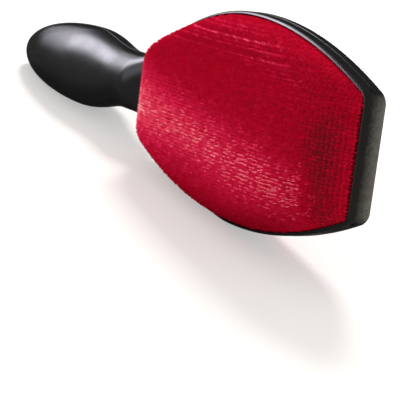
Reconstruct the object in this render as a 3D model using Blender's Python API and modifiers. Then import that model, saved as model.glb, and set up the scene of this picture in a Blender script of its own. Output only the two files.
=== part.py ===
"""A two-sided lint brush: two moulded half shells that form a teardrop handle and a barrel-shaped
head frame, a crowned pad of red pile fabric on each side, and the screws that clamp the shells.

The brush lies along X: the tip of the handle is at -X, the far end of the head at +X, the front pad
faces +Z, and the origin is the centre of the bounding box. Lengths are in metres.
"""

import math

import bmesh
import bpy
from mathutils import Matrix, Vector

# Head frame, in plan and in section
HEAD_LENGTH = 0.125
HEAD_HALF_WIDTH = 0.033
HANDLE_END_HALF_WIDTH = 0.0147
FAR_END_HALF_WIDTH = 0.0178
WIDEST_SHARE = 0.48
FRAME_HALF_THICKNESS = 0.0036
FRAME_EDGE_RADIUS = 0.0014
FAR_CORNER_RADIUS = 0.0045
RIM_WIDTH = 0.0008
FLOOR_THICKNESS = 0.0010

# Handle
HANDLE_LENGTH = 0.112
BULB_RADIUS = 0.01485
BULB_END_LENGTH = 0.0556
NECK_RADIUS = 0.01035
NECK_TO_HEAD = 0.0227
SHOULDER_LENGTH = 0.0138
HANDLE_WALL = 0.0022
NECK_SOLID_LENGTH = 0.009
FLARE_EXPONENT = 2.2

# Fits
FIT_GAP = 0.0003
PARTING_GAP = 0.0003
LAND = 0.0003
CUT_OVERRUN = 0.002

# Pads, from the fabric inwards
PAD_EDGE_RISE = 0.0001
PAD_NEAR_SHOULDER = 0.0123
PAD_FAR_SHOULDER = 0.0319
PAD_CORNER_RADIUS = 0.0034
PAD_EDGE_ROUND = 0.0008
CROWN_EXPONENT = 3.3
CROWN_FLAT_SHARE = 0.46
CROWN_ARCH_SHARE = 0.12
FABRIC_THICKNESS = 0.0010
FOAM_THICKNESS = 0.0012
PLATE_THICKNESS = 0.0012

# Screws that clamp the shells, and the bosses they run in
SCREW_SHANK_RADIUS = 0.0014
SCREW_HEAD_RADIUS = 0.0027
SCREW_HEAD_HEIGHT = 0.0018
SCREW_DRIVE_RADIUS = 0.0010
SCREW_DRIVE_DEPTH = 0.0010
SCREW_DRIVE_SLOT_SHARE = 0.25
SCREW_EDGE_BEVEL = 0.0006
SCREW_POINT_BEVEL = 0.0003
SCREW_SIDE_OFFSET = 0.013
SCREW_BOSS_RADIUS = 0.0033
SCREW_BOSS_CLEARANCE = 0.0006
SCREW_TIP_CLEARANCE = 0.0008
SCREW_SEAT_HEIGHT = 0.0008
SCREW_PLACE_SHARES = (0.30, 0.72)

# Pegs under each pad plate, and their sockets on the shell floor
PEG_RADIUS = 0.0015
PEG_REACH = 0.0020
SOCKET_WALL = 0.0011
SOCKET_HEIGHT = 0.0026
PEG_SIDE_OFFSET = 0.019
PEG_END_SHARES = (0.15, 0.86)
PEG_SIDE_SHARE = 0.51

# Locating pins between the half handles
PIN_RADIUS = 0.0016
PIN_REACH = 0.0030
PIN_COLUMN_RADIUS = 0.0034
PIN_PLACES = (0.078, 0.021)

# Moulded ribs
RIB_THICKNESS = 0.0012
FLOOR_RIB_HEIGHT = 0.0018
FLOOR_RIB_OFFSET = 0.007
FLOOR_RIB_SHARES = (0.16, 0.84)
CROSS_RIB_SHARES = (0.22, 0.40, 0.62, 0.80)
CROSS_RIB_SPAN_SHARE = 0.62
HANDLE_RIB_PLACES = (0.094, 0.060, 0.040)
HANDLE_RIB_RELIEF = 0.0012

# Facets
SHARP_ANGLE = math.radians(40)
WELD_LENGTH = 0.00003
ARC_STEPS = 6
ROUND_SIDES = 16
SIDE_STEPS = 12
CORNER_STEPS = 3
END_STEPS = 4
TIP_STEPS = 8
BULB_STEPS = 6
NECK_STEPS = 2
SHOULDER_STEPS = 6
SLOPE_PASSES = 4
OUTER_TIP_SHARE = 0.16
CORE_TIP_SHARE = 0.30
PAD_RING_SHARES = (0.45, 0.62, 0.73, 0.80, 0.86, 0.90, 0.945, 0.98)
FOAM_SHARES = PAD_RING_SHARES[:5]
RECESS_SHARE = PAD_RING_SHARES[5]

# Places along X, all from the lengths above
TIP_X = -(HANDLE_LENGTH + HEAD_LENGTH) / 2
HEAD_X = TIP_X + HANDLE_LENGTH
FAR_X = HEAD_X + HEAD_LENGTH
BULB_X = TIP_X + BULB_END_LENGTH
NECK_X = HEAD_X - NECK_TO_HEAD
SHOULDER_X = HEAD_X - SHOULDER_LENGTH
WIDEST_X = HEAD_X + WIDEST_SHARE * HEAD_LENGTH
MIDDLE_X = (HEAD_X + FAR_X) / 2

# Heights above the parting plane. The crown is as high as the bulb, so the brush lies level on both.
PARTING_Z = PARTING_GAP / 2
FLOOR_Z = PARTING_Z + FLOOR_THICKNESS
PAD_EDGE_Z = FRAME_HALF_THICKNESS + PAD_EDGE_RISE
PAD_CROWN = BULB_RADIUS - PAD_EDGE_Z
PAD_INSET = RIM_WIDTH + FIT_GAP

FRONT, BACK = 1, -1
SIDE_NAMES = {FRONT: "front", BACK: "back"}


# Scene and materials


def clear_scene():
    for obj in list(bpy.data.objects):
        bpy.data.objects.remove(obj, do_unlink=True)


def new_collection(name):
    collection = bpy.data.collections.new(name)
    bpy.context.scene.collection.children.link(collection)
    return collection


def material(name, colour, roughness, metallic):
    result = bpy.data.materials.new(name)
    result.use_nodes = True
    shader = result.node_tree.nodes["Principled BSDF"]
    shader.inputs["Base Color"].default_value = (*colour, 1)
    shader.inputs["Roughness"].default_value = roughness
    shader.inputs["Metallic"].default_value = metallic
    return result


def add_object(name, bm, collection, look=None):
    """Makes an object from the mesh, with every face pointing out and round faces shaded smooth."""
    bmesh.ops.recalc_face_normals(bm, faces=bm.faces)
    mesh = bpy.data.meshes.new(name)
    bm.to_mesh(mesh)
    bm.free()
    mesh.shade_smooth()
    mesh.set_sharp_from_angle(angle=SHARP_ANGLE)
    obj = bpy.data.objects.new(name, mesh)
    collection.objects.link(obj)
    if look:
        mesh.materials.append(look)
    return obj


def add_cutter(name, bm):
    obj = add_object(name, bm, CUTTERS)
    obj.hide_render = True
    obj.display_type = "WIRE"
    return obj


def combine(obj, other, operation):
    modifier = obj.modifiers.new(other.name, "BOOLEAN")
    modifier.operation = operation
    modifier.solver = "EXACT"
    modifier.object = other


# Outline of the head, in plan


def smooth(share):
    """Rises from 0 to 1 with a level start and a level end."""
    return (1 - math.cos(math.pi * share)) / 2


def side_at(x):
    """Half width of the barrel at a place along X, before its corners are rounded."""
    if x < WIDEST_X:
        end, share = HANDLE_END_HALF_WIDTH, (WIDEST_X - x) / (WIDEST_X - HEAD_X)
    else:
        end, share = FAR_END_HALF_WIDTH, (x - WIDEST_X) / (FAR_X - WIDEST_X)
    return HEAD_HALF_WIDTH - (HEAD_HALF_WIDTH - end) * share**2


def side_slope(x):
    """Change of the half width with X."""
    if x < WIDEST_X:
        length, end = WIDEST_X - HEAD_X, HANDLE_END_HALF_WIDTH
    else:
        length, end = FAR_X - WIDEST_X, FAR_END_HALF_WIDTH
    return -2 * (HEAD_HALF_WIDTH - end) * (x - WIDEST_X) / length**2


def corner_arc(end_x, direction, inset, radius, steps):
    """Points that round the corner of the inset barrel, from the flat end out to its side."""
    flat_x = end_x - direction * inset
    x = flat_x - direction * radius
    for _ in range(SLOPE_PASSES):
        angle = math.atan(-direction * side_slope(x))
        x = flat_x - direction * radius * (1 - math.sin(angle))
    side = side_at(x) - inset / math.cos(angle)
    centre = Vector((flat_x - direction * radius, side - radius * math.cos(angle)))
    points = []
    for step in range(steps + 1):
        turn = math.pi / 2 + (angle - math.pi / 2) * step / steps
        points.append(centre + Vector((direction * math.sin(turn), math.cos(turn))) * radius)
    return points


def barrel_outline(inset, radius):
    """The whole closed outline of the barrel, moved in by an inset, with rounded corners."""
    near = corner_arc(HEAD_X, -1, inset, radius, CORNER_STEPS)
    far = corner_arc(FAR_X, 1, inset, radius, CORNER_STEPS)
    upper = list(near)
    for step in range(1, SIDE_STEPS):
        x = near[-1].x + (far[-1].x - near[-1].x) * step / SIDE_STEPS
        square = math.sqrt(1 + side_slope(x) ** 2)
        upper.append(Vector((x, side_at(x) - inset * square)))
    upper += reversed(far)
    lower = [Vector((point.x, -point.y)) for point in reversed(upper)]
    return upper + between(upper[-1], lower[0]) + lower + between(lower[-1], upper[0])


def between(start, end):
    """Points that divide the flat end of the outline."""
    return [start.lerp(end, step / END_STEPS) for step in range(1, END_STEPS)]


# Sections of the shell, from handle tip to far end


def section(x, half_width, height, round_width, round_height, foot):
    """A half section over the parting plane: two rounded corners joined by a flat top."""
    round_width = min(round_width, half_width - LAND)
    round_height = min(round_height, height - foot - LAND)
    corner = []
    for step in range(ARC_STEPS + 1):
        turn = math.pi / 2 * step / ARC_STEPS
        y = half_width - round_width * (1 - math.cos(turn))
        z = height - round_height * (1 - math.sin(turn))
        corner.append((y, z))
    half = [(half_width, foot)] + corner
    return [(x, y, z) for y, z in half] + [(x, -y, z) for y, z in reversed(half)]


def handle_size(x):
    """Half width, height and rounded part of the handle and neck at a place along X."""
    if x < BULB_X:
        share = (BULB_X - x) / BULB_END_LENGTH
        radius = BULB_RADIUS * math.sqrt(1 - share**2)
        return radius, radius, radius, radius
    if x < NECK_X:
        share = (x - BULB_X) / (NECK_X - BULB_X)
        radius = BULB_RADIUS + (NECK_RADIUS - BULB_RADIUS) * smooth(share)
        return radius, radius, radius, radius
    share = max(x - SHOULDER_X, 0) / SHOULDER_LENGTH
    half_width = NECK_RADIUS + (HANDLE_END_HALF_WIDTH - NECK_RADIUS) * share**FLARE_EXPONENT
    height = NECK_RADIUS + (FRAME_HALF_THICKNESS - NECK_RADIUS) * smooth(share)
    round_width = half_width + (FRAME_EDGE_RADIUS - half_width) * share**3
    round_height = height + (FRAME_EDGE_RADIUS - height) * share**3
    return half_width, height, round_width, round_height


def handle_places(first_share, last_x):
    """Stations from near the tip to a place in the neck, closest where the handle turns most."""
    places = []
    for step in range(TIP_STEPS):
        angle = math.pi / 2 * (first_share + (1 - first_share) * step / TIP_STEPS)
        places.append(BULB_X - BULB_END_LENGTH * math.cos(angle))
    for step in range(BULB_STEPS):
        places.append(BULB_X + (NECK_X - BULB_X) * step / BULB_STEPS)
    for step in range(NECK_STEPS):
        places.append(NECK_X + (SHOULDER_X - NECK_X) * step / NECK_STEPS)
    for step in range(SHOULDER_STEPS + 1):
        places.append(SHOULDER_X + (last_x - SHOULDER_X) * step / SHOULDER_STEPS)
    return places


def outer_sections():
    """Sections of the outer skin: handle, neck, barrel sides and the rounded far end."""
    sections = []
    for x in handle_places(OUTER_TIP_SHARE, HEAD_X):
        sections.append(section(x, *handle_size(x), PARTING_Z))
    corner = corner_arc(FAR_X, 1, 0, FAR_CORNER_RADIUS, CORNER_STEPS)
    side_end = corner[-1].x
    for step in range(1, SIDE_STEPS):
        x = HEAD_X + (side_end - HEAD_X) * step / SIDE_STEPS
        sections.append(frame_section(x, side_at(x), 0))
    for step, point in enumerate(reversed(corner)):
        sections.append(frame_section(point.x, point.y, step / CORNER_STEPS))
    return sections


def frame_section(x, half_width, end_share):
    """A section of the head frame, drawn down and tightened where the far end is rounded."""
    drop = FRAME_EDGE_RADIUS * (1 - math.sqrt(1 - end_share**4))
    radius = FRAME_EDGE_RADIUS * (1 - end_share**4 / 2)
    return section(x, half_width, FRAME_HALF_THICKNESS - drop, radius, radius, PARTING_Z)


def loft(sections, pole=None):
    """A closed body through equal sections, ending in a pole at its start where one is given."""
    bm = bmesh.new()
    rings = [[bm.verts.new(point) for point in points] for points in sections]
    for ring, following in zip(rings, rings[1:]):
        for index in range(len(ring)):
            after = (index + 1) % len(ring)
            bm.faces.new((ring[index], ring[after], following[after], following[index]))
    bm.faces.new(reversed(rings[-1]))
    if pole is None:
        bm.faces.new(rings[0])
        return bm
    tip = bm.verts.new(pole)
    for index in range(len(rings[0])):
        bm.faces.new((rings[0][index], tip, rings[0][(index + 1) % len(rings[0])]))
    return bm


def prism(outline, bottom, top):
    """An upright body on a plan outline."""
    bm = bmesh.new()
    lower = [bm.verts.new((point.x, point.y, bottom)) for point in outline]
    upper = [bm.verts.new((point.x, point.y, top)) for point in outline]
    for index in range(len(outline)):
        after = (index + 1) % len(outline)
        bm.faces.new((lower[index], lower[after], upper[after], upper[index]))
    bm.faces.new(lower)
    bm.faces.new(upper)
    return bm


def boxes(places):
    """Boxes in one mesh, each given by its two opposite corners."""
    bm = bmesh.new()
    for low, high in places:
        low, high = Vector(low), Vector(high)
        size = high - low
        matrix = Matrix.Translation((low + high) / 2) @ Matrix.Diagonal((*size, 1))
        bmesh.ops.create_cube(bm, size=1, matrix=matrix)
    return bm


def posts(places, radius, sides=ROUND_SIDES):
    """Upright round posts in one mesh, each given by its centre, its foot and its top."""
    bm = bmesh.new()
    for (x, y), bottom, top in places:
        matrix = Matrix.Translation((x, y, (bottom + top) / 2))
        bmesh.ops.create_cone(
            bm, cap_ends=True, segments=sides, radius1=radius, radius2=radius,
            depth=top - bottom, matrix=matrix,
        )
    return bm


def turn_over(bm, side):
    """Mirrors a mesh that is built above the parting plane when it belongs to the back."""
    if side == BACK:
        bmesh.ops.scale(bm, vec=(1, 1, -1), verts=bm.verts)
        bmesh.ops.reverse_faces(bm, faces=bm.faces)
    return bm


# Surfaces of a pad, above the parting plane


def crown_at(x, y):
    """Share of the crown's height: flat in the middle, with a shoulder down to each end."""
    across = beyond_flat(min(abs(y) / (side_at(x) - PAD_INSET), 1))
    along = beyond_flat(abs(x - MIDDLE_X) / (HEAD_LENGTH / 2))
    rise = (1 - across**CROWN_EXPONENT) * (1 - CROWN_ARCH_SHARE * along**2)
    near = (x - HEAD_X - PAD_INSET, PAD_NEAR_SHOULDER)
    far = (FAR_X - PAD_INSET - x, PAD_FAR_SHOULDER)
    for distance, shoulder in (near, far):
        share = min(max(distance / shoulder, 0), 1)
        rise *= 1 - (1 - share) ** 2
    return rise


def beyond_flat(share):
    """How far a share of the way out is past the flat middle, from 0 to 1."""
    return max(share - CROWN_FLAT_SHARE, 0) / (1 - CROWN_FLAT_SHARE)


def fabric_top(x, y):
    return PAD_EDGE_Z + PAD_CROWN * crown_at(x, y)


def fabric_under(x, y):
    return fabric_top(x, y) - FABRIC_THICKNESS


def plate_margin_top(x, y):
    return fabric_under(x, y) - FIT_GAP


def foam_under(x, y):
    return plate_margin_top(x, y) - FOAM_THICKNESS


def plate_recess_top(x, y):
    return foam_under(x, y) - FIT_GAP


def plate_under(x, y):
    return plate_recess_top(x, y) - PLATE_THICKNESS


def ring_points(outline, share, height):
    """The outline drawn in towards the centre of the head, at the height of a surface."""
    centre = Vector((MIDDLE_X, 0))
    points = []
    for point in outline:
        moved = centre + (point - centre) * share
        points.append((moved.x, moved.y, height(moved.x, moved.y)))
    return points


def strip(bm, inner, outer):
    """Joins two rings with triangles that lean the same way on every surface of a pad."""
    for index in range(len(inner)):
        after = (index + 1) % len(inner)
        bm.faces.new((inner[index], outer[index], outer[after]))
        bm.faces.new((inner[index], outer[after], inner[after]))


def surface(bm, rings, height):
    """A pad surface from its centre out through its rings. Returns its outermost ring."""
    middle = bm.verts.new((MIDDLE_X, 0, height(MIDDLE_X, 0)))
    loops = [[bm.verts.new(point) for point in ring] for ring in rings]
    for index in range(len(loops[0])):
        bm.faces.new((loops[0][index], loops[0][index - 1], middle))
    for inner, outer in zip(loops, loops[1:]):
        strip(bm, inner, outer)
    return loops[-1]


def at_level(level):
    return lambda x, y: level


# Places of the fastenings, in plan


def screw_places():
    places = []
    for share in SCREW_PLACE_SHARES:
        for sign in (1, -1):
            places.append((HEAD_X + share * HEAD_LENGTH, sign * SCREW_SIDE_OFFSET))
    return places


def peg_places():
    ends = [(HEAD_X + share * HEAD_LENGTH, 0) for share in PEG_END_SHARES]
    middle = HEAD_X + PEG_SIDE_SHARE * HEAD_LENGTH
    return ends + [(middle, PEG_SIDE_OFFSET), (middle, -PEG_SIDE_OFFSET)]


def pin_places():
    return [(HEAD_X - distance, 0) for distance in PIN_PLACES]


def screw_boss_top(place):
    return plate_under(*place) - SCREW_BOSS_CLEARANCE


def screw_seat_z():
    return FLOOR_Z + SCREW_SEAT_HEIGHT


# The mould cores that leave ribs, bosses and walls behind


def handle_core(side):
    """The hollow of a half handle, slotted where cross ribs and pin columns stand."""
    name = SIDE_NAMES[side]
    sections = []
    for x in handle_places(CORE_TIP_SHARE, HEAD_X - NECK_SOLID_LENGTH):
        half_width, height, _, _ = handle_size(x)
        half_width -= HANDLE_WALL
        height -= HANDLE_WALL
        sections.append(section(x, half_width, height, half_width, height, -CUT_OVERRUN))
    core = add_cutter(f"{name}_handle_core", turn_over(loft(sections), side))
    ribs = []
    for place in HANDLE_RIB_PLACES:
        x = HEAD_X - place
        low = (x - RIB_THICKNESS / 2, -BULB_RADIUS, HANDLE_RIB_RELIEF)
        high = (x + RIB_THICKNESS / 2, BULB_RADIUS, BULB_RADIUS)
        ribs.append((low, high))
    combine(core, add_cutter(f"{name}_handle_ribs", turn_over(boxes(ribs), side)), "DIFFERENCE")
    columns = [(place, PARTING_Z, BULB_RADIUS) for place in pin_places()]
    column_mesh = turn_over(posts(columns, PIN_COLUMN_RADIUS), side)
    combine(core, add_cutter(f"{name}_pin_columns", column_mesh), "DIFFERENCE")
    return core


def pocket_core(side):
    """The pocket that takes a pad, slotted where floor ribs, screw bosses and peg sockets stand."""
    name = SIDE_NAMES[side]
    outline = barrel_outline(RIM_WIDTH, PAD_CORNER_RADIUS)
    core_mesh = prism(outline, FLOOR_Z, FRAME_HALF_THICKNESS + BULB_RADIUS)
    core = add_cutter(f"{name}_pocket_core", turn_over(core_mesh, side))
    rib_foot, rib_top = FLOOR_Z - CUT_OVERRUN, FLOOR_Z + FLOOR_RIB_HEIGHT
    first, last = (HEAD_X + share * HEAD_LENGTH for share in FLOOR_RIB_SHARES)
    long_ribs = []
    for sign in (1, -1):
        middle = sign * FLOOR_RIB_OFFSET
        low = (first, middle - RIB_THICKNESS / 2, rib_foot)
        long_ribs.append((low, (last, middle + RIB_THICKNESS / 2, rib_top)))
    cross_ribs = []
    for share in CROSS_RIB_SHARES:
        x = HEAD_X + share * HEAD_LENGTH
        reach = side_at(x) * CROSS_RIB_SPAN_SHARE
        low = (x - RIB_THICKNESS / 2, -reach, rib_foot)
        cross_ribs.append((low, (x + RIB_THICKNESS / 2, reach, rib_top)))
    sockets = [(place, rib_foot, FLOOR_Z + SOCKET_HEIGHT) for place in peg_places()]
    if side == FRONT:
        bosses = [(place, rib_foot, screw_boss_top(place)) for place in screw_places()]
    else:
        bosses = [(place, rib_foot, screw_seat_z()) for place in screw_places()]
    socket_radius = PEG_RADIUS + FIT_GAP + SOCKET_WALL
    standing = (
        ("long_ribs", boxes(long_ribs)),
        ("cross_ribs", boxes(cross_ribs)),
        ("sockets", posts(sockets, socket_radius)),
        ("bosses", posts(bosses, SCREW_BOSS_RADIUS)),
    )
    for kind, mesh in standing:
        combine(core, add_cutter(f"{name}_{kind}", turn_over(mesh, side)), "DIFFERENCE")
    return core


# The pieces


def make_shell(side, look):
    """One moulding: half the handle and half the head frame, open towards the other half."""
    name = SIDE_NAMES[side]
    pole = (TIP_X, 0, PARTING_Z)
    shell = add_object(f"{name}_shell", turn_over(loft(outer_sections(), pole), side), PARTS, look)
    combine(shell, handle_core(side), "DIFFERENCE")
    combine(shell, pocket_core(side), "DIFFERENCE")
    peg_bores = [
        (place, FLOOR_Z, FLOOR_Z + SOCKET_HEIGHT + CUT_OVERRUN) for place in peg_places()
    ]
    peg_mesh = turn_over(posts(peg_bores, PEG_RADIUS + FIT_GAP), side)
    combine(shell, add_cutter(f"{name}_peg_bores", peg_mesh), "DIFFERENCE")
    screw_bores = [(place, -CUT_OVERRUN, screw_bore_top(place, side)) for place in screw_places()]
    screw_mesh = turn_over(posts(screw_bores, SCREW_SHANK_RADIUS + FIT_GAP), side)
    combine(shell, add_cutter(f"{name}_screw_bores", screw_mesh), "DIFFERENCE")
    if side == FRONT:
        pins = [(place, -PIN_REACH, PIN_REACH) for place in pin_places()]
        combine(shell, add_cutter("locating_pins", posts(pins, PIN_RADIUS)), "UNION")
    else:
        bores = [(place, -CUT_OVERRUN, PIN_REACH + FIT_GAP) for place in pin_places()]
        bore_mesh = turn_over(posts(bores, PIN_RADIUS + FIT_GAP), side)
        combine(shell, add_cutter("pin_bores", bore_mesh), "DIFFERENCE")
    return shell


def screw_bore_top(place, side):
    """A blind bore in a front boss, and a hole right through the seat in the back shell."""
    if side == FRONT:
        return screw_boss_top(place) - RIB_THICKNESS
    return screw_seat_z() + CUT_OVERRUN


def pad_rings(shares, height):
    """Rings of a pad surface, all drawn in from the one pad outline so that layers never touch."""
    outline = barrel_outline(PAD_INSET, PAD_CORNER_RADIUS)
    return [ring_points(outline, share, height) for share in shares]


def make_fabric(side, look):
    """Pile fabric over the crown, turned down into the groove inside the rim."""
    inner = barrel_outline(PAD_INSET + FABRIC_THICKNESS, PAD_CORNER_RADIUS - FABRIC_THICKNESS)
    hem = at_level(FLOOR_Z + FIT_GAP)
    upper = pad_rings(PAD_RING_SHARES, fabric_top)
    upper += pad_rings((1,), lambda x, y: fabric_top(x, y) - PAD_EDGE_ROUND)
    upper += pad_rings((1,), hem)
    lower = pad_rings(PAD_RING_SHARES[:-1], fabric_under)
    lower.append(ring_points(inner, 1, fabric_under))
    lower.append(ring_points(inner, 1, hem))
    bm = bmesh.new()
    strip(bm, surface(bm, upper, fabric_top), surface(bm, lower, fabric_under))
    return add_object(f"{SIDE_NAMES[side]}_fabric", turn_over(bm, side), PARTS, look)


def make_foam(side, look):
    """A sheet of foam in the shallow recess of the plate, following the crown."""
    bm = bmesh.new()
    upper = surface(bm, pad_rings(FOAM_SHARES, plate_margin_top), plate_margin_top)
    strip(bm, upper, surface(bm, pad_rings(FOAM_SHARES, foam_under), foam_under))
    return add_object(f"{SIDE_NAMES[side]}_foam", turn_over(bm, side), PARTS, look)


def make_plate(side, look):
    """The crowned plastic plate that stretches the fabric, with a skirt and four pegs."""
    inset = PAD_INSET + FABRIC_THICKNESS + FIT_GAP
    outline = barrel_outline(inset, PAD_CORNER_RADIUS - FABRIC_THICKNESS - FIT_GAP)
    inner = barrel_outline(inset + PLATE_THICKNESS, PAD_CORNER_RADIUS / 2)
    foot = at_level(FLOOR_Z + FIT_GAP)
    shares = FOAM_SHARES[:-1] + (RECESS_SHARE,)
    upper = pad_rings(shares, plate_recess_top)
    upper += pad_rings((RECESS_SHARE,), plate_margin_top)
    upper.append(ring_points(outline, 1, plate_margin_top))
    upper.append(ring_points(outline, 1, foot))
    lower = pad_rings(shares, plate_under)
    lower.append(ring_points(inner, 1, foot))
    bm = bmesh.new()
    strip(bm, surface(bm, upper, plate_recess_top), surface(bm, lower, plate_under))
    name = SIDE_NAMES[side]
    plate = add_object(f"{name}_pad_plate", turn_over(bm, side), PARTS, look)
    pegs = []
    for place in peg_places():
        end = FLOOR_Z + SOCKET_HEIGHT - PEG_REACH
        pegs.append((place, end, plate_under(*place) + PLATE_THICKNESS / 2))
    combine(plate, add_cutter(f"{name}_pegs", turn_over(posts(pegs, PEG_RADIUS), side)), "UNION")
    return plate


def make_screw(number, place, look):
    """A pan-head screw with a cross recess, driven from the back into a front boss."""
    length = screw_seat_z() + FIT_GAP + screw_boss_top(place) - RIB_THICKNESS - SCREW_TIP_CLEARANCE
    profile = (
        (0, length),
        (SCREW_SHANK_RADIUS - SCREW_POINT_BEVEL, length),
        (SCREW_SHANK_RADIUS, length - SCREW_POINT_BEVEL),
        (SCREW_SHANK_RADIUS, 0),
        (SCREW_HEAD_RADIUS, 0),
        (SCREW_HEAD_RADIUS, SCREW_EDGE_BEVEL - SCREW_HEAD_HEIGHT),
        (SCREW_HEAD_RADIUS - SCREW_EDGE_BEVEL, -SCREW_HEAD_HEIGHT),
        (0, -SCREW_HEAD_HEIGHT),
    )
    mesh = bpy.data.meshes.new(f"clamp_screw_{number}")
    points = [(radius, 0, height) for radius, height in profile]
    mesh.from_pydata(points, [(index, index + 1) for index in range(len(points) - 1)], [])
    mesh.materials.append(look)
    screw = bpy.data.objects.new(mesh.name, mesh)
    PARTS.objects.link(screw)
    screw.location = (*place, -screw_seat_z() - FIT_GAP)
    turned = screw.modifiers.new("turned", "SCREW")
    turned.steps = turned.render_steps = ROUND_SIDES
    turned.use_merge_vertices = True
    turned.merge_threshold = WELD_LENGTH
    head_z = screw.location.z - SCREW_HEAD_HEIGHT
    long, short = SCREW_DRIVE_RADIUS, SCREW_DRIVE_RADIUS * SCREW_DRIVE_SLOT_SHARE
    for direction, half_x, half_y in (("x", long, short), ("y", short, long)):
        low = (place[0] - half_x, place[1] - half_y, head_z - CUT_OVERRUN)
        high = (place[0] + half_x, place[1] + half_y, head_z + SCREW_DRIVE_DEPTH)
        cutter = add_cutter(f"clamp_screw_{number}_slot_{direction}", boxes([(low, high)]))
        combine(screw, cutter, "DIFFERENCE")
    return screw


def make_brush():
    black = material("black_gloss_plastic", (0.012, 0.012, 0.012), 0.22, 0)
    inner_black = material("black_inner_plastic", (0.02, 0.02, 0.02), 0.5, 0)
    red = material("red_pile_fabric", (0.30, 0.004, 0.018), 0.9, 0)
    grey = material("grey_foam", (0.25, 0.25, 0.26), 0.95, 0)
    steel = material("zinc_plated_steel", (0.6, 0.6, 0.58), 0.35, 1)
    for side in (FRONT, BACK):
        make_shell(side, black)
        make_plate(side, inner_black)
        make_foam(side, grey)
        make_fabric(side, red)
    for number, place in enumerate(screw_places(), 1):
        make_screw(number, place, steel)


clear_scene()
PARTS = new_collection("lint_brush")
CUTTERS = new_collection("cutters")
CUTTERS.hide_render = True
make_brush()
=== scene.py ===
"""The look of the two-sided lint brush: a gloss housing, two tufted pile pads, camera, light and floor.

The sizes are the ones the solids are made from, in metres, and the parting plane is at zero height.
The gap between the solid shells is a shallow groove here, and the pocket under each pad is plain.
"""

import math
import random

import bmesh
import bpy
from mathutils import Matrix, Vector


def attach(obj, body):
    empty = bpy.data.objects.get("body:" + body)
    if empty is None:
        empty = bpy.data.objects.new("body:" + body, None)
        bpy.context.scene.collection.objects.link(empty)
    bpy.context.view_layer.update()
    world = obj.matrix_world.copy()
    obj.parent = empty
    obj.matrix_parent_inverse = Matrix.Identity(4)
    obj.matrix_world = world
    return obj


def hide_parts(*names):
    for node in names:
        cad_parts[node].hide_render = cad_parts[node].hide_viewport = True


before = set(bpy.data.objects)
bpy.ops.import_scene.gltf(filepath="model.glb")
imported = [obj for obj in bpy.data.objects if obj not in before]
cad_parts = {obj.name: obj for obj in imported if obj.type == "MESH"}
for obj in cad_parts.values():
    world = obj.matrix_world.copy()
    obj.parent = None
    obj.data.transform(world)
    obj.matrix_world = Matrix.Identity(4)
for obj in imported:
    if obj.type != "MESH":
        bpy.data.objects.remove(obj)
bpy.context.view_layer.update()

# Head frame
HEAD_LENGTH = 0.125
HEAD_HALF_WIDTH = 0.033
HANDLE_END_HALF_WIDTH = 0.0147
FAR_END_HALF_WIDTH = 0.0178
WIDEST_SHARE = 0.48
FRAME_HALF_THICKNESS = 0.0036
FRAME_EDGE_RADIUS = 0.0014
FAR_CORNER_RADIUS = 0.0045
FAR_CORNER_EXPONENT = 4
RIM_WIDTH = 0.0008
FLOOR_Z = 0.00115

# Handle
HANDLE_LENGTH = 0.112
BULB_RADIUS = 0.01485
BULB_END_LENGTH = 0.0556
NECK_RADIUS = 0.01035
NECK_TO_HEAD = 0.0227
SHOULDER_LENGTH = 0.0138
FLARE_EXPONENT = 2.2
SQUARING_EXPONENT = 3

# Groove along the parting line, finer on the handle
GROOVE_HALF_HEIGHT = 0.00018
GROOVE_DEPTH = 0.00016
HANDLE_GROOVE_SHARE = 0.3
GROOVE_FLOOR_Z = 0.00001

# Pads
FIT_GAP = 0.0003
PAD_EDGE_RISE = 0.0001
PAD_NEAR_SHOULDER = 0.0123
PAD_FAR_SHOULDER = 0.0319
PAD_CORNER_RADIUS = 0.0034
CROWN_EXPONENT = 3.3
CROWN_FLAT_SHARE = 0.46
CROWN_ARCH_SHARE = 0.12
FABRIC_THICKNESS = 0.0010
FOAM_DEPTH = 0.0025
FOAM_SHARE = 0.86
BACKING_DROP = 0.0007
BACKING_EDGE_ROUND = 0.0007

# Tufts of the pile, in rows along X
TUFT_PITCH_X = 0.00145
TUFT_PITCH_Y = 0.00110
TUFT_SPREAD = 0.00042
TUFT_JITTER = 0.00012
SLOPE_STEP = TUFT_PITCH_X / 4

# Fibres of a tuft: the first ones bend at their middle, and the others are straight
FIBRES = 7
BENT_FIBRES = 4
FIBRE_SIDES = 3
FIBRE_LENGTH = 0.00135
FIBRE_LENGTH_SPREAD = 0.1
FIBRE_RADIUS = 0.00017
MIDDLE_WIDTH = 0.9
STRAIGHT_WIDTH = 1.2
FIBRE_ROOT = 0.0001
FIBRE_LEAN = math.radians(58)
FIBRE_LEAN_SPREAD = math.radians(7)
FIBRE_RISE = 0.6
FRONT_SINK = 3
EDGE_BAND = 0.004
EDGE_LENGTH_SHARE = 0.55
FIBRE_SHADE_SPREAD = 0.04
FIBRE_SHADE_LEAN = 0.15

# Tone of the nap with painted light in it, from 0 for the painted shade of the tucked end to 1 for the
# palest painted glint
PLAIN_TONE = 0.15
LEAST_TONE = 0.04
TUFT_TONE_SPREAD = 0.12
TUCK_SHADE = 0.0011

# A ridge of painted sheen and glints that runs aslant along the pad and fades towards the far end
RIDGE_START_Y = -0.002
RIDGE_END_Y = -0.016
RIDGE_HALF_WIDTH = 0.0095
RIDGE_NEAR_LEVEL = 0.2
RIDGE_NEAR_SHARE = 0.1
RIDGE_END_SHARE = 0.97
RIDGE_FADE_SHARE = 0.1
RIDGE_LEVEL = 0.46
RIDGE_LOSS = 0.40

# Painted sheen on the shoulder next to the handle
SHOULDER_SHEEN_LENGTH = 0.012
SHOULDER_SHEEN_HALF_WIDTH = 0.016
SHOULDER_SHEEN_LEVEL = 0.36
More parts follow.
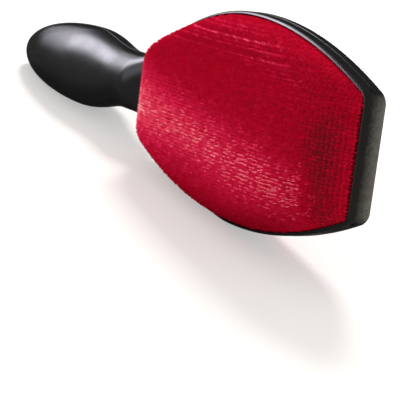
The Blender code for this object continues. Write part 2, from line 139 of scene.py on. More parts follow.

# A band of painted shade across the far end, below the pad's upper part
DARK_BAND_PLACE = 0.0100
DARK_BAND_WIDTH = 0.0052
DARK_BAND_TOP = 0.016
DARK_BAND_FADE = 0.012
DARK_BAND_LEVEL = 0.125

# Painted glints: the share of the ridge's tufts that have one, and how much it pales each point of a
# fibre, from its root to its tip
GLINT_SHARE_START = 0.04
GLINT_SHARE_MOST = 0.8
GLINTING_FIBRES = 3
GLINT_RANGE = (0.4, 1.0)
GLINT_PLAIN = 0.4
GLINT_GAIN = 0.8
MIDDLE_GLINT = 0.35
STRAIGHT_GLINT = (0,) * FIBRE_SIDES + (1,)
BENT_GLINT = (0,) * FIBRE_SIDES + (MIDDLE_GLINT,) * FIBRE_SIDES + (1,)

# Rows with painted highlight lines along the pad's upper edge, where grazing light catches them, and
# painted shade between them
STREAK_START = 0.0028
STREAK_TURN = 0.0055
STREAK_BAND = 0.0040
STREAK_NEAR_SHARE = 0.14
STREAK_RISE_SHARE = 0.2
STREAK_FAR_SHARE = 0.95
STREAK_FADE_SHARE = 0.3
STREAK_LINE = 0.00022
STREAK_LEVEL = 0.22
STREAK_SPREAD = 0.12
STREAK_VARIATION = (0.3, 1.7)
STREAK_SHADE = 0.03
STREAK_GLINTS = 0.07

# Noise: scales are in cells to a metre, and depths in metres
MOTTLE_START = 0.3
MOTTLE_END = 0.7
CLOUD_SCALE = 60
GLOSS_SCALE = 350
SHELL_GRAIN_SCALE = 2500
INNER_GRAIN_SCALE = 1500
GRAIN_STRENGTH = 0.15
GRAIN_DEPTH = 0.00005
END_GRAIN_SCALE = 900
STEEL_SCALE = 800
PILE_DEPTH_SCALE = 900
PILE_ROUGH_SCALE = 1500
BACKING_SCALE = 700
WEAVE_SCALE = 1800
WEAVE_STRENGTH = 0.5
WEAVE_DEPTH = 0.0001
FLOOR_SCALE = 20

# Finishes: the darkest and the lightest of a surface's colours, or of its greys or roughnesses
GLOSS_GREYS = (0.012, 0.015)
GLOSS_ROUGHS = (0.31, 0.37)
INNER_GREYS = (0.015, 0.025)
INNER_ROUGHS = (0.45, 0.55)
PLASTIC_SPECULAR = 0.3
STEEL_COLOURS = ((0.5, 0.5, 0.47), (0.65, 0.65, 0.62))
STEEL_ROUGHNESS = 0.35
PILE_ROUGHS = (0.6, 0.8)
BACKING_COLOURS = ((0.36, 0.002, 0.014), (0.48, 0.004, 0.021))
BACKING_ROUGHNESS = 0.85
FLOOR_COLOURS = ((0.91, 0.86, 0.82), (0.93, 0.88, 0.84))
FLOOR_ROUGHNESS = 0.9

# Ramp stops: a place on the ramp, and the colour there or one number for a grey
MIRROR_STOPS = ((0.5, 0.56), (0.71, 0.43), (0.8, 0.27), (0.88, 0))
# The far end wall: moulded grain, painted lighter towards the back as a painted reflection
END_WALL_GRAIN_AND_REFLECTION_STOPS = ((0.14, (0.016, 0.015, 0.013)), (0.60, (0.17, 0.165, 0.14)))
# The pile's ramp runs from the painted shade of the tucked end, through plain crimson, to painted sheen
# and glints
PILE_STOPS = (
    (0.0, (0.02, 0.001, 0.002)),
    (0.04, (0.18, 0.007, 0.014)),
    (0.15, (0.39, 0.002, 0.017)),
    (0.35, (0.64, 0.013, 0.064)),
    (0.6, (0.86, 0.065, 0.13)),
    (0.95, (1.0, 0.42, 0.44)),
)
PILE_DEPTH_STOPS = ((0.25, 0.88), (0.75, 1.06))
NEW_STOP = 0.5

# Sockets of the colour mixing node, which have the same names for numbers and for colours
FIRST_COLOUR, SECOND_COLOUR, MIXED_COLOUR = 6, 7, 2

# Camera
CAMERA_RIGHT = (0.47233, 0.12517, -0.87249)
CAMERA_DOWN = (0.21557, -0.97621, -0.02335)
CAMERA_PLACE = (0.46464, 0.05938, 0.24866)
CAMERA_LENS_MM = 140.684
CAMERA_SENSOR_MM = 36
CAMERA_NEAREST = 0.01
CAMERA_FARTHEST = 20

# Studio
WORLD_LEVEL = 0.85
FLOOR_GLOW = 0.4
FLOOR_REACH = 1.5
WHITE = (1, 1, 1)
COOL_WHITE = (0.92, 0.89, 1)

# Mesh steps
ARC_STEPS = 14
TIP_STEPS = 34
BULB_STEPS = 26
NECK_STEPS = 6
SHOULDER_STEPS = 26
SIDE_STEPS = 64
CORNER_STEPS = 10
END_STEPS = 16
BACKING_RINGS = 46
SLOPE_PASSES = 4
TIP_SHARE = 0.05
SHARP_ANGLE = math.radians(40)

# Places along X, and heights
TIP_X = -(HANDLE_LENGTH + HEAD_LENGTH) / 2
HEAD_X = TIP_X + HANDLE_LENGTH
FAR_X = HEAD_X + HEAD_LENGTH
BULB_X = TIP_X + BULB_END_LENGTH
NECK_X = HEAD_X - NECK_TO_HEAD
SHOULDER_X = HEAD_X - SHOULDER_LENGTH
WIDEST_X = HEAD_X + WIDEST_SHARE * HEAD_LENGTH
MIDDLE_X = (HEAD_X + FAR_X) / 2
PAD_EDGE_Z = FRAME_HALF_THICKNESS + PAD_EDGE_RISE
PAD_CROWN = BULB_RADIUS - PAD_EDGE_Z
PAD_INSET = RIM_WIDTH + FIT_GAP
HEM_Z = FLOOR_Z + FIT_GAP

# Lamps: name, direction, distance, size, power, colour, place along X, and the rays that miss it.
# The key and fill light the surfaces, and the panels between them are seen in reflections only.
LAMPS = (
    ("key", (-0.424, 0.843, -0.33), 1.2, (0.3, 0.3), 12, WHITE, MIDDLE_X, "glossy"),
    ("softbox", (-0.733, 0.615, 0.292), 0.85, (0.44, 0.50), 40, COOL_WHITE, BULB_X, "diffuse"),
    ("side_panel", (-0.948, 0.308, 0.06), 0.85, (0.28, 0.56), 10, COOL_WHITE, BULB_X, "diffuse"),
    ("top_panel", (-0.15, 0.34, 0.93), 0.9, (0.5, 0.5), 6, COOL_WHITE, BULB_X, "diffuse"),
    ("fill", (-0.5, 0, 0.85), 1.0, (0.5, 0.5), 6, WHITE, MIDDLE_X, "glossy"),
)

FRONT, BACK = 1, -1
SIDE_NAMES = {FRONT: "front", BACK: "back"}
scene = bpy.context.scene


# Shares and hills


def clamped(share):
    return min(max(share, 0), 1)


def smooth(share):
    return (1 - math.cos(math.pi * share)) / 2


def hill(distance):
    """1 at no distance, and falling smoothly to nearly nothing two widths away."""
    return math.exp(-distance**2)


# Outline of the head


def side_at(x):
    if x < WIDEST_X:
        end, share = HANDLE_END_HALF_WIDTH, (WIDEST_X - x) / (WIDEST_X - HEAD_X)
    else:
        end, share = FAR_END_HALF_WIDTH, (x - WIDEST_X) / (FAR_X - WIDEST_X)
    return HEAD_HALF_WIDTH - (HEAD_HALF_WIDTH - end) * share**2


def side_slope(x):
    if x < WIDEST_X:
        length, end = WIDEST_X - HEAD_X, HANDLE_END_HALF_WIDTH
    else:
        length, end = FAR_X - WIDEST_X, FAR_END_HALF_WIDTH
    return -2 * (HEAD_HALF_WIDTH - end) * (x - WIDEST_X) / length**2


def corner_arc(end_x, direction, inset, radius):
    """Points that round a corner of the inset barrel, from its flat end out to its side."""
    flat_x = end_x - direction * inset
    x = flat_x - direction * radius
    for _ in range(SLOPE_PASSES):
        angle = math.atan(-direction * side_slope(x))
        x = flat_x - direction * radius * (1 - math.sin(angle))
    side = side_at(x) - inset / math.cos(angle)
    centre = Vector((flat_x - direction * radius, side - radius * math.cos(angle)))
    points = []
    for step in range(CORNER_STEPS + 1):
        turn = math.pi / 2 + (angle - math.pi / 2) * step / CORNER_STEPS
        points.append(centre + Vector((direction * math.sin(turn), math.cos(turn))) * radius)
    return points


def between(start, end):
    return [start.lerp(end, step / END_STEPS) for step in range(1, END_STEPS)]


def barrel_outline(inset, radius):
    """The closed outline of the barrel, moved in by an inset, with rounded corners."""
    near = corner_arc(HEAD_X, -1, inset, radius)
    far = corner_arc(FAR_X, 1, inset, radius)
    upper = list(near)
    for step in range(1, SIDE_STEPS):
        x = near[-1].x + (far[-1].x - near[-1].x) * step / SIDE_STEPS
        square = math.sqrt(1 + side_slope(x) ** 2)
        upper.append(Vector((x, side_at(x) - inset * square)))
    upper += reversed(far)
    lower = [Vector((point.x, -point.y)) for point in reversed(upper)]
    return upper + between(upper[-1], lower[0]) + lower + between(lower[-1], upper[0])


# Housing


def section(x, half_width, height, round_width, round_height):
    """A half section over the parting plane, with half of the parting groove at its foot."""
    round_width = min(round_width, half_width)
    fineness = HANDLE_GROOVE_SHARE if x < HEAD_X else 1
    groove = min(GROOVE_DEPTH * fineness, half_width / 2)
    foot = min(GROOVE_HALF_HEIGHT * fineness, height / 2)
    round_height = min(round_height, height - foot)
    half = [(half_width - groove, GROOVE_FLOOR_Z), (half_width, foot)]
    for step in range(ARC_STEPS + 1):
        turn = math.pi / 2 * step / ARC_STEPS
        y = half_width - round_width * (1 - math.cos(turn))
        z = height - round_height * (1 - math.sin(turn))
        half.append((y, z))
    return [(x, y, z) for y, z in half] + [(x, -y, z) for y, z in reversed(half)]


def handle_size(x):
    """Half width, height and edge rounding of the handle: round up to its shoulder, then flatter."""
    if x < BULB_X:
        share = (BULB_X - x) / BULB_END_LENGTH
        radius = BULB_RADIUS * math.sqrt(1 - share**2)
        return radius, radius, radius, radius
    if x < NECK_X:
        share = (x - BULB_X) / (NECK_X - BULB_X)
        radius = BULB_RADIUS + (NECK_RADIUS - BULB_RADIUS) * smooth(share)
        return radius, radius, radius, radius
    share = max(x - SHOULDER_X, 0) / SHOULDER_LENGTH
    half_width = NECK_RADIUS + (HANDLE_END_HALF_WIDTH - NECK_RADIUS) * share**FLARE_EXPONENT
    height = NECK_RADIUS + (FRAME_HALF_THICKNESS - NECK_RADIUS) * smooth(share)
    round_width = half_width + (FRAME_EDGE_RADIUS - half_width) * share**SQUARING_EXPONENT
    round_height = height + (FRAME_EDGE_RADIUS - height) * share**SQUARING_EXPONENT
    return half_width, height, round_width, round_height


def frame_section(x, half_width, end_share):
    """A section of the head frame, which gets lower and sharper over the far corner."""
    turned = end_share**FAR_CORNER_EXPONENT
    drop = FRAME_EDGE_RADIUS * (1 - math.sqrt(1 - turned))
    radius = FRAME_EDGE_RADIUS * (1 - turned / 2)
    return section(x, half_width, FRAME_HALF_THICKNESS - drop, radius, radius)


def outer_sections():
    """All sections of a half shell, from the tip of the handle to the far end wall."""
    sections = []
    for step in range(TIP_STEPS):
        angle = math.pi / 2 * (TIP_SHARE + (1 - TIP_SHARE) * step / TIP_STEPS)
        x = BULB_X - BULB_END_LENGTH * math.cos(angle)
        sections.append(section(x, *handle_size(x)))
    places = ((BULB_X, NECK_X, BULB_STEPS), (NECK_X, SHOULDER_X, NECK_STEPS),
              (SHOULDER_X, HEAD_X, SHOULDER_STEPS))
    for start, end, steps in places:
        for step in range(steps):
            x = start + (end - start) * step / steps
            sections.append(section(x, *handle_size(x)))
    sections.append(section(HEAD_X, *handle_size(HEAD_X)))
    corner = corner_arc(FAR_X, 1, 0, FAR_CORNER_RADIUS)
    for step in range(1, SIDE_STEPS):
        x = HEAD_X + (corner[-1].x - HEAD_X) * step / SIDE_STEPS
        sections.append(frame_section(x, side_at(x), 0))
    for step, point in enumerate(reversed(corner)):
        sections.append(frame_section(point.x, point.y, step / CORNER_STEPS))
    return sections


def loft(sections, pole):
    bm = bmesh.new()
    rings = [[bm.verts.new(point) for point in points] for points in sections]
    for ring, following in zip(rings, rings[1:]):
        for index in range(len(ring)):
            after = (index + 1) % len(ring)
            bm.faces.new((ring[index], ring[after], following[after], following[index]))
    bm.faces.new(reversed(rings[-1]))
    tip = bm.verts.new(pole)
    for index in range(len(rings[0])):
        bm.faces.new((rings[0][index], tip, rings[0][(index + 1) % len(rings[0])]))
    return bm


def prism(outline, bottom, top):
    bm = bmesh.new()
    lower = [bm.verts.new((point.x, point.y, bottom)) for point in outline]
    upper = [bm.verts.new((point.x, point.y, top)) for point in outline]
    for index in range(len(outline)):
        after = (index + 1) % len(outline)
        bm.faces.new((lower[index], lower[after], upper[after], upper[index]))
    bm.faces.new(lower)
    bm.faces.new(upper)
    return bm


def closed_up(bm):
    bmesh.ops.recalc_face_normals(bm, faces=bm.faces)
    return bm


def add_piece(name, bm, look, side):
    """An object made of a mesh that faces the front, mirrored over the parting plane for the back."""
    if side == BACK:
        bmesh.ops.scale(bm, vec=(1, 1, -1), verts=bm.verts)
        bmesh.ops.reverse_faces(bm, faces=bm.faces)
    mesh = bpy.data.meshes.new(name)
    bm.to_mesh(mesh)
    bm.free()
    mesh.shade_smooth()
    mesh.materials.append(look)
    piece = bpy.data.objects.new(name, mesh)
    scene.collection.objects.link(piece)
    return piece


def make_shell(side, look):
    """One half shell: the lofted outside, with the pad's pocket cut out of the head."""
    name = SIDE_NAMES[side]
    pole = (TIP_X, 0, GROOVE_FLOOR_Z)
    shell = add_piece(f"{name}_housing", closed_up(loft(outer_sections(), pole)), look, side)
    core_mesh = prism(barrel_outline(RIM_WIDTH, PAD_CORNER_RADIUS), FLOOR_Z, BULB_RADIUS * 2)
    core = add_piece(f"{name}_pocket", closed_up(core_mesh), look, side)
    cut = shell.modifiers.new("pocket", "BOOLEAN")
    cut.operation, cut.solver, cut.object = "DIFFERENCE", "EXACT", core
    bpy.context.view_layer.update()
    depsgraph = bpy.context.evaluated_depsgraph_get()
    cut_mesh = bpy.data.meshes.new_from_object(shell.evaluated_get(depsgraph))
    shell.modifiers.clear()
    shell.data = cut_mesh
    cut_mesh.shade_smooth()
    cut_mesh.set_sharp_from_angle(angle=SHARP_ANGLE)
    bpy.data.objects.remove(core, do_unlink=True)
    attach(shell, "root")
    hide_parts(f"{name}_shell")


# Pads


def beyond_flat(share):
    return max(share - CROWN_FLAT_SHARE, 0) / (1 - CROWN_FLAT_SHARE)


def crown_at(x, y):
    """How high the pad stands, from 0 at its edge to 1 on the flat of its crown."""
    across = beyond_flat(min(abs(y) / (side_at(x) - PAD_INSET), 1))
    along = beyond_flat(abs(x - MIDDLE_X) / (HEAD_LENGTH / 2))
    rise = (1 - across**CROWN_EXPONENT) * (1 - CROWN_ARCH_SHARE * along**2)
    near = (x - HEAD_X - PAD_INSET, PAD_NEAR_SHOULDER)
    far = (FAR_X - PAD_INSET - x, PAD_FAR_SHOULDER)
    for distance, shoulder in (near, far):
        rise *= 1 - (1 - clamped(distance / shoulder)) ** 2
    return rise


def pad_top(x, y):
    return PAD_EDGE_Z + PAD_CROWN * crown_at(x, y)


def backing_top(x, y):
    return pad_top(x, y) - BACKING_DROP


def ring(outline, share, height):
    """The outline drawn in to a share of itself, at the heights that a function of x and y gives."""
    centre = Vector((MIDDLE_X, 0))
    points = []
    for point in outline:
        moved = centre + (point - centre) * share
        points.append((moved.x, moved.y, height(moved.x, moved.y)))
    return points


def make_backing(side, look):
    """The woven backing and foam, stretched over the crown and turned down inside the rim."""
    outline = barrel_outline(PAD_INSET, PAD_CORNER_RADIUS)
    inner = barrel_outline(PAD_INSET + FABRIC_THICKNESS, PAD_CORNER_RADIUS - FABRIC_THICKNESS)
    rings = [ring(outline, math.sqrt(step / BACKING_RINGS), backing_top)
             for step in range(1, BACKING_RINGS)]
    rings.append(ring(outline, 1, lambda x, y: backing_top(x, y) - BACKING_EDGE_ROUND))
    rings.append(ring(outline, 1, lambda x, y: HEM_Z))
    rings.append(ring(inner, 1, lambda x, y: HEM_Z))
    rings.append(ring(inner, 1, lambda x, y: pad_top(x, y) - FABRIC_THICKNESS * 2))
    rings.append(ring(outline, FOAM_SHARE, lambda x, y: pad_top(x, y) - FOAM_DEPTH))
    rings.append(ring(outline, FOAM_SHARE / 2, lambda x, y: pad_top(x, y) - FOAM_DEPTH))
    bm = bmesh.new()
    loops = [[bm.verts.new(point) for point in points] for points in rings]
    top = bm.verts.new((MIDDLE_X, 0, backing_top(MIDDLE_X, 0)))
    under = bm.verts.new((MIDDLE_X, 0, pad_top(MIDDLE_X, 0) - FOAM_DEPTH))
    count = len(outline)
    for index in range(count):
        after = (index + 1) % count
        bm.faces.new((loops[0][after], loops[0][index], top))
        bm.faces.new((loops[-1][index], loops[-1][after], under))
        for one, other in zip(loops, loops[1:]):
            bm.faces.new((one[index], one[after], other[after], other[index]))
    name = SIDE_NAMES[side]
    backing = add_piece(f"{name}_pad_backing", closed_up(bm), look, side)
    backing.data.set_sharp_from_angle(angle=SHARP_ANGLE)
    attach(backing, "root")
    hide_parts(f"{name}_fabric", f"{name}_foam")


# Pile


def surface_normal(x, y):
    rise_x = pad_top(x + SLOPE_STEP, y) - pad_top(x - SLOPE_STEP, y)
    rise_y = pad_top(x, y + SLOPE_STEP) - pad_top(x, y - SLOPE_STEP)
    return Vector((-rise_x / (2 * SLOPE_STEP), -rise_y / (2 * SLOPE_STEP), 1)).normalized()


def inward_at(x, y):
    """How far a point is in from the pad's nearest edge, and less than zero outside the pad."""
    return min(side_at(x) - PAD_INSET - abs(y), x - HEAD_X - PAD_INSET, FAR_X - PAD_INSET - x)


def tone_and_painted_light_at(x, y):
    """How pale the nap is, with painted sheen on a ridge and the shoulder and painted shade in a band
    at the far end, and the share of its tufts that get a painted glint.
    """
    along = (x - HEAD_X) / HEAD_LENGTH
    ridge = hill((y - RIDGE_START_Y - (RIDGE_END_Y - RIDGE_START_Y) * along) / RIDGE_HALF_WIDTH)
    ridge *= min(along / RIDGE_NEAR_SHARE + RIDGE_NEAR_LEVEL, 1)
    ridge *= clamped((RIDGE_END_SHARE - along) / RIDGE_FADE_SHARE)
    shoulder = hill((x - HEAD_X) / SHOULDER_SHEEN_LENGTH)
    shoulder *= hill((y - RIDGE_START_Y) / SHOULDER_SHEEN_HALF_WIDTH)
    shade_band = hill((FAR_X - DARK_BAND_PLACE - x) / DARK_BAND_WIDTH)
    shade_band *= clamped((DARK_BAND_TOP - y) / DARK_BAND_FADE)
    # Plain tone, plus painted sheen on the ridge and shoulder, less painted shade in the far band
    even = PLAIN_TONE + ridge * (RIDGE_LEVEL - RIDGE_LOSS * along)
    even += shoulder * SHOULDER_SHEEN_LEVEL - shade_band * DARK_BAND_LEVEL
    return even, ridge**2 * min(GLINT_SHARE_START + along, GLINT_SHARE_MOST)


def streak_at(x, y):
    """How far the rows get painted highlight lines: along the pad's upper edge, a little way in."""
    along = (x - HEAD_X) / HEAD_LENGTH
    from_edge = side_at(x) - PAD_INSET - y
    place = hill((from_edge - STREAK_START - STREAK_TURN * along) / STREAK_BAND)
    place *= clamped((along - STREAK_NEAR_SHARE) / STREAK_RISE_SHARE)
    return place * clamped((STREAK_FAR_SHARE - along) / STREAK_FADE_SHARE)


class Pile:
    """The fibres of one pile, gathered tuft by tuft: their points, faces, normals and tone with painted
    light.
    """

    def __init__(self, side):
        self.side = side
        self.picker = random.Random(SIDE_NAMES[side])
        self.points, self.faces, self.normals, self.tones_and_painted_light = [], [], [], []

    def add_tuft(self, x, y, row_streak):
        """A small brush of fibres, rooted round one stitch of the weave."""
        picker = self.picker
        even, glint_share = tone_and_painted_light_at(x, y)
        streaked = streak_at(x, y)
        streak = row_streak * streaked * picker.uniform(*STREAK_VARIATION)
        glinted = picker.random() < glint_share + STREAK_GLINTS * streaked
        even *= 1 + TUFT_TONE_SPREAD * picker.gauss(0, 1)
        # Painted shade: the tufts where the fabric tucks under the far rim get the darkest tone
        tucked = FAR_X - PAD_INSET - x < TUCK_SHADE
        for fibre in range(FIBRES):
            angle = 2 * math.pi * (fibre + picker.random()) / FIBRES
            reach = TUFT_SPREAD * math.sqrt(picker.random())
            root_x = x + reach * math.cos(angle) + picker.gauss(0, TUFT_JITTER)
            root_y = y + reach * math.sin(angle) + picker.gauss(0, TUFT_JITTER)
            inward = inward_at(root_x, root_y)
            if inward <= 0:
                continue
            bent = fibre < BENT_FIBRES
            shares = BENT_GLINT if bent else STRAIGHT_GLINT
            normal, nap = self.add_fibre(root_x, root_y, inward, bent)
            # The tone, less painted shade between streaked rows, plus a painted highlight line along
            # the tuft's row
            tone_and_painted_light = even - STREAK_SHADE * streaked + streak * hill((root_y - y) / STREAK_LINE)
            glint = 0
            # A painted glint pales the tips of a few fibres of a tuft
            if glinted and fibre < GLINTING_FIBRES:
                glint = picker.uniform(*GLINT_RANGE) * (GLINT_PLAIN + GLINT_GAIN * glint_share)
            levels = [min(max(tone_and_painted_light + glint * share, LEAST_TONE), 1) for share in shares]
            self.tones_and_painted_light.extend([0] * len(shares) if tucked else levels)
            self.add_shade(normal, nap, len(shares))

    def add_fibre(self, x, y, inward, bent):
        """A tapered fibre that leans the way the nap runs. Returns its root's normal and the nap."""
        picker, side = self.picker, self.side
        normal = surface_normal(x, y)
        nap = Vector((-side, 0, 0))
        nap = (nap - normal * nap.dot(normal)).normalized()
        across = normal.cross(nap)
        lean = FIBRE_LEAN + picker.gauss(0, FIBRE_LEAN_SPREAD)
        sway = picker.gauss(0, FIBRE_LEAN_SPREAD)
        direction = (normal * math.cos(lean) + nap * math.sin(lean) + across * sway).normalized()
        rise = (direction + normal * FIBRE_RISE).normalized()
        sink = normal if side == BACK else (normal + Vector((0, 0, FRONT_SINK))) / (1 + FRONT_SINK)
        root = Vector((x, y, pad_top(x, y))) - sink * (BACKING_DROP + FIBRE_ROOT)
        length = FIBRE_LENGTH * (1 - FIBRE_LENGTH_SPREAD + 2 * FIBRE_LENGTH_SPREAD * picker.random())
        length *= min(EDGE_LENGTH_SHARE + (1 - EDGE_LENGTH_SHARE) * inward / EDGE_BAND, 1)
        middle = root + rise * length / 2
        tip = middle + direction * length / 2
        one = direction.cross(normal).normalized()
        other = direction.cross(one).normalized()
        turn = picker.random() * 2 * math.pi
        rings = [(root, FIBRE_RADIUS * STRAIGHT_WIDTH)]
        if bent:
            rings = [(root, FIBRE_RADIUS), (middle, FIBRE_RADIUS * MIDDLE_WIDTH)]
        first = len(self.points)
        for centre, radius in rings:
            for corner in range(FIBRE_SIDES):
                angle = turn + corner * 2 * math.pi / FIBRE_SIDES
                place = centre + (one * math.cos(angle) + other * math.sin(angle)) * radius
                self.points.append((place.x, place.y, place.z * side))
        self.points.append((tip.x, tip.y, tip.z * side))
        self.add_faces(first, len(self.points) - 1, bent)
        return normal, nap

    def add_faces(self, first, tip, bent):
        """The cone up to the tip and, on a bent fibre, the ring of faces below it."""
        top = tip - FIBRE_SIDES
        for corner in range(FIBRE_SIDES):
            after = (corner + 1) % FIBRE_SIDES
            made = [(top + corner, top + after, tip)]
            if bent:
                made.append((first + corner, first + after, top + after, top + corner))
            self.faces.extend(made if self.side == FRONT else [face[::-1] for face in made])

    def add_shade(self, normal, nap, count):
        """One normal for all points of a fibre: the surface's, leaning along the nap and jittered."""
        tilt = Vector([self.picker.gauss(0, FIBRE_SHADE_SPREAD) for _ in range(3)])
        shade = (normal + tilt + nap * FIBRE_SHADE_LEAN).normalized()
        self.normals.extend([(shade.x, shade.y, shade.z * self.side)] * count)


def make_pile(side, look):
    """Tufts in woven rows over the whole pad."""
    fibres = Pile(side)
    rows = int(HEAD_HALF_WIDTH * 2 / TUFT_PITCH_Y)
    for row in range(-rows // 2, rows // 2 + 1):
        y = row * TUFT_PITCH_Y
        streak = max(fibres.picker.gauss(STREAK_LEVEL, STREAK_SPREAD), 0)
        x = HEAD_X + PAD_INSET + TUFT_PITCH_X / 2
        while x < FAR_X - PAD_INSET:
            if abs(y) < side_at(x) - PAD_INSET:
                fibres.add_tuft(x, y, streak)
            x += TUFT_PITCH_X
    mesh = bpy.data.meshes.new(f"{SIDE_NAMES[side]}_pile")
    mesh.from_pydata(fibres.points, [], fibres.faces)
    mesh.shade_smooth()
    mesh.normals_split_custom_set_from_vertices(fibres.normals)
    mesh.materials.append(look)
    mesh.attributes.new("tone_and_painted_light", "FLOAT", "POINT").data.foreach_set("value", fibres.tones_and_painted_light)
    pile = bpy.data.objects.new(mesh.name, mesh)
    scene.collection.objects.link(pile)
    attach(pile, "root")


# Materials


def node(tree, kind, **values):
    """A new node, with its inputs and settings given by name."""
    made = tree.nodes.new(kind)
    for name, value in values.items():
        if name in made.inputs:
            made.inputs[name].default_value = value
        else:
            setattr(made, name, value)
    return made


def new_material(name):
    look = bpy.data.materials.new(name)
    look.use_nodes = True
    return look, look.node_tree, look.node_tree.nodes["Principled BSDF"]


def noise(tree, scale, detail=2.0, rough=0.5):
    place = tree.nodes.new("ShaderNodeTexCoord")
    made = node(tree, "ShaderNodeTexNoise", Scale=scale, Detail=detail, Roughness=rough)
    tree.links.new(place.outputs["Object"], made.inputs["Vector"])
    return made.outputs["Fac"]


def ramp(tree, source, stops):
    """A colour ramp over the source. One number in place of a stop's colour is a grey."""
    made = tree.nodes.new("ShaderNodeValToRGB")
    elements = made.color_ramp.elements
    while len(elements) < len(stops):
        elements.new(NEW_STOP)
    for element, (position, colour) in zip(elements, stops):
        element.position = position
        element.color = (*colour, 1) if isinstance(colour, tuple) else (colour, colour, colour, 1)
    tree.links.new(source, made.inputs["Fac"])
    return made.outputs["Color"]


def mottle(tree, scale, low, high, detail=2.0):
    """Patches of noise that run between two greys or two colours."""
    return ramp(tree, noise(tree, scale, detail), ((MOTTLE_START, low), (MOTTLE_END, high)))


def bump(tree, height, strength, distance):
    made = node(tree, "ShaderNodeBump", Strength=strength, Distance=distance)
    tree.links.new(height, made.inputs["Height"])
    return made.outputs["Normal"]


def rescaled(tree, source, start, end, low=0, high=1):
    """The source, with its range from start to end stretched over low to high."""
    limits = {"From Min": start, "From Max": end, "To Min": low, "To Max": high}
    made = node(tree, "ShaderNodeMapRange", **limits)
    tree.links.new(source, made.inputs["Value"])
    return made.outputs["Result"]


def combined(tree, operation, first, second):
    made = node(tree, "ShaderNodeMath", operation=operation)
    tree.links.new(first, made.inputs[0])
    tree.links.new(second, made.inputs[1])
    return made.outputs["Value"]


def colour_mix(tree, blend_type):
    """A node that mixes two colours, with the sockets of the first, the second and the result."""
    made = node(tree, "ShaderNodeMix", data_type="RGBA", blend_type=blend_type)
    return made, made.inputs[FIRST_COLOUR], made.inputs[SECOND_COLOUR], made.outputs[MIXED_COLOUR]


def shader_mix(tree, factor, first, second):
    made = tree.nodes.new("ShaderNodeMixShader")
    tree.links.new(factor, made.inputs["Fac"])
    tree.links.new(first, made.inputs[1])
    tree.links.new(second, made.inputs[2])
    return made.outputs["Shader"]


def plastic(name, greys, roughs, grain_scale):
    """Moulded plastic with faint clouds in its colour and gloss, over a fine moulded grain."""
    look, tree, shader = new_material(name)
    tree.links.new(mottle(tree, CLOUD_SCALE, *greys), shader.inputs["Base Color"])
    tree.links.new(mottle(tree, GLOSS_SCALE, *roughs, detail=4), shader.inputs["Roughness"])
    grain = noise(tree, grain_scale, detail=3)
    tree.links.new(bump(tree, grain, GRAIN_STRENGTH, GRAIN_DEPTH), shader.inputs["Normal"])
    shader.inputs["Specular IOR Level"].default_value = PLASTIC_SPECULAR
    return look


def housing_material():
    """Gloss black that mirrors evenly, with a moulded grain on the flat far end whose lighter back half
    is a painted reflection.
    """
    look = plastic("black_gloss", GLOSS_GREYS, GLOSS_ROUGHS, SHELL_GRAIN_SCALE)
    tree = look.node_tree
    shader = tree.nodes["Principled BSDF"]
    shader.inputs["Metallic"].default_value = 1
    facing = tree.nodes.new("ShaderNodeLayerWeight").outputs["Facing"]
    tree.links.new(ramp(tree, facing, MIRROR_STOPS), shader.inputs["Specular Tint"])
    place = tree.nodes.new("ShaderNodeTexCoord")
    parts = tree.nodes.new("ShaderNodeSeparateXYZ")
    tree.links.new(place.outputs["Object"], parts.inputs["Vector"])
    # On the far end wall the colour runs to a grain that grows lighter towards the back: painted
    # reflection over a real grain
    on_end = rescaled(tree, parts.outputs["X"], FAR_X - FRAME_EDGE_RADIUS, FAR_X)
    reflection_towards_back = rescaled(tree, parts.outputs["Z"], FRAME_HALF_THICKNESS, -FRAME_HALF_THICKNESS)
    grain = combined(tree, "MULTIPLY", noise(tree, END_GRAIN_SCALE, detail=6, rough=0.9), reflection_towards_back)
    blend, black, end_wall, result = colour_mix(tree, "MIX")
    tree.links.new(on_end, blend.inputs["Factor"])
    tree.links.new(shader.inputs["Base Color"].links[0].from_socket, black)
    tree.links.new(ramp(tree, grain, END_WALL_GRAIN_AND_REFLECTION_STOPS), end_wall)
    tree.links.new(result, shader.inputs["Base Color"])
    return look


def pile_material():
    """Deep crimson pile, paler with painted sheen and glints and darker with painted shade, as the tone
    value of its fibres says.
    """
    look, tree, shader = new_material("red_pile")
    tone_and_light_input = node(tree, "ShaderNodeAttribute", attribute_name="tone_and_painted_light")
    blend, pale, deep, result = colour_mix(tree, "MULTIPLY")
    blend.inputs["Factor"].default_value = 1
    tree.links.new(ramp(tree, tone_and_light_input.outputs["Fac"], PILE_STOPS), pale)
    depth = noise(tree, PILE_DEPTH_SCALE, detail=3, rough=0.7)
    tree.links.new(ramp(tree, depth, PILE_DEPTH_STOPS), deep)
    tree.links.new(result, shader.inputs["Base Color"])
    tree.links.new(mottle(tree, PILE_ROUGH_SCALE, *PILE_ROUGHS), shader.inputs["Roughness"])
    shader.inputs["Specular IOR Level"].default_value = 0
    return look


def backing_material():
    """The woven ground between the tufts, a little brighter than their shade."""
    look, tree, shader = new_material("red_backing")
    colour = mottle(tree, BACKING_SCALE, *BACKING_COLOURS, detail=3)
    tree.links.new(colour, shader.inputs["Base Color"])
    shader.inputs["Roughness"].default_value = BACKING_ROUGHNESS
    shader.inputs["Specular IOR Level"].default_value = 0
    weave = bump(tree, noise(tree, WEAVE_SCALE), WEAVE_STRENGTH, WEAVE_DEPTH)
    tree.links.new(weave, shader.inputs["Normal"])
    return look


def steel_material():
    look, tree, shader = new_material("plated_steel")
    colour = mottle(tree, STEEL_SCALE, *STEEL_COLOURS, detail=3)
    tree.links.new(colour, shader.inputs["Base Color"])
    shader.inputs["Metallic"].default_value = 1
    shader.inputs["Roughness"].default_value = STEEL_ROUGHNESS
    return look


def refinish(cad_node, look):
    cad_node.data.materials.clear()
    cad_node.data.materials.append(look)


# Camera, lights and floor


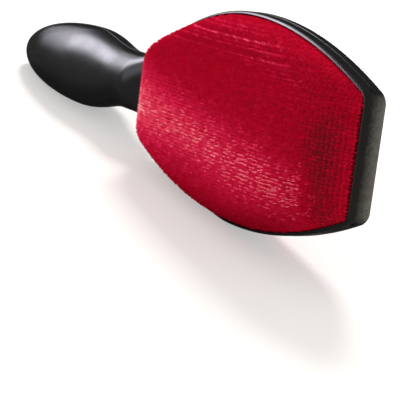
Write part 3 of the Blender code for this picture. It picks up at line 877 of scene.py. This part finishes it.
def make_camera():
    camera = bpy.data.objects.new("camera", bpy.data.cameras.new("camera"))
    scene.collection.objects.link(camera)
    right, down = Vector(CAMERA_RIGHT), Vector(CAMERA_DOWN)
    turn = Matrix((right, -down, -right.cross(down))).transposed()
    camera.matrix_world = Matrix.Translation(CAMERA_PLACE) @ turn.to_4x4()
    camera.data.sensor_width = CAMERA_SENSOR_MM
    camera.data.lens = CAMERA_LENS_MM
    camera.data.clip_start, camera.data.clip_end = CAMERA_NEAREST, CAMERA_FARTHEST
    scene.camera = camera


def area_light(name, direction, distance, size, power, colour, aim_x, unseen_by):
    direction = Vector(direction)
    lamp = bpy.data.lights.new(name, "AREA")
    lamp.shape = "RECTANGLE"
    lamp.size, lamp.size_y = size
    lamp.energy = power
    lamp.color = colour
    light = bpy.data.objects.new(name, lamp)
    scene.collection.objects.link(light)
    light.location = Vector((aim_x, 0, 0)) + direction.normalized() * distance
    light.rotation_mode = "QUATERNION"
    light.rotation_quaternion = direction.to_track_quat("Z", "Y")
    setattr(light, f"visible_{unseen_by}", False)


def background_rays(tree):
    """1 for rays that show the background: camera, glossy and transmission rays."""
    path = tree.nodes.new("ShaderNodeLightPath")
    total = path.outputs["Is Camera Ray"]
    for name in ("Is Glossy Ray", "Is Transmission Ray"):
        total = combined(tree, "MAXIMUM", total, path.outputs[name])
    return total


def make_world():
    world = bpy.data.worlds.new("studio")
    scene.world = world
    world.use_nodes = True
    tree = world.node_tree
    strength = rescaled(tree, background_rays(tree), 0, 1, WORLD_LEVEL, 1)
    tree.links.new(strength, tree.nodes["Background"].inputs["Strength"])
    tree.nodes["Background"].inputs["Color"].default_value = (*WHITE, 1)


def floor_material():
    """Pale and matt, brighter to the rays that show the background, and clear from below."""
    look, tree, shader = new_material("pale_floor")
    shader.inputs["Roughness"].default_value = FLOOR_ROUGHNESS
    shader.inputs["Specular IOR Level"].default_value = 0
    tree.links.new(mottle(tree, FLOOR_SCALE, *FLOOR_COLOURS), shader.inputs["Base Color"])
    shown = rescaled(tree, background_rays(tree), 0, 1, 0, FLOOR_GLOW)
    glow = tree.nodes.new("ShaderNodeEmission").outputs["Emission"]
    lit = shader_mix(tree, shown, shader.outputs["BSDF"], glow)
    below = tree.nodes.new("ShaderNodeNewGeometry").outputs["Backfacing"]
    clear = tree.nodes.new("ShaderNodeBsdfTransparent").outputs["BSDF"]
    sided = shader_mix(tree, below, lit, clear)
    tree.links.new(sided, tree.nodes["Material Output"].inputs["Surface"])
    return look


def make_floor():
    """A pale table, on which the brush lies with the side of its bulb and of its head."""
    mesh = bpy.data.meshes.new("floor")
    corners = [(x * FLOOR_REACH, y * FLOOR_REACH, 0) for x, y in ((-1, -1), (1, -1), (1, 1), (-1, 1))]
    mesh.from_pydata(corners, [], [(0, 1, 2, 3)])
    floor = bpy.data.objects.new("floor", mesh)
    scene.collection.objects.link(floor)
    lean = math.atan2(HEAD_HALF_WIDTH - BULB_RADIUS, WIDEST_X - BULB_X)
    normal = Vector((math.sin(lean), math.cos(lean), 0))
    touch = max(-normal.dot(Vector((BULB_X, 0, 0))) + BULB_RADIUS,
                -normal.dot(Vector((WIDEST_X, -HEAD_HALF_WIDTH, 0))))
    floor.rotation_mode = "QUATERNION"
    floor.rotation_quaternion = normal.to_track_quat("Z", "Y")
    floor.location = Vector((MIDDLE_X, 0, 0)) - normal * (touch + normal.x * MIDDLE_X)
    mesh.materials.append(floor_material())


scene.view_settings.view_transform = "Standard"
gloss = housing_material()
inner = plastic("black_inner", INNER_GREYS, INNER_ROUGHS, INNER_GRAIN_SCALE)
steel = steel_material()
red_pile = pile_material()
red_backing = backing_material()
for side in (FRONT, BACK):
    make_shell(side, gloss)
    make_backing(side, red_backing)
    make_pile(side, red_pile)
for name, cad_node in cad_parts.items():
    if name.endswith("_pad_plate"):
        refinish(cad_node, inner)
    if name.startswith("clamp_screw"):
        refinish(cad_node, steel)

make_camera()
make_world()
make_floor()
for row in LAMPS:
    area_light(*row)
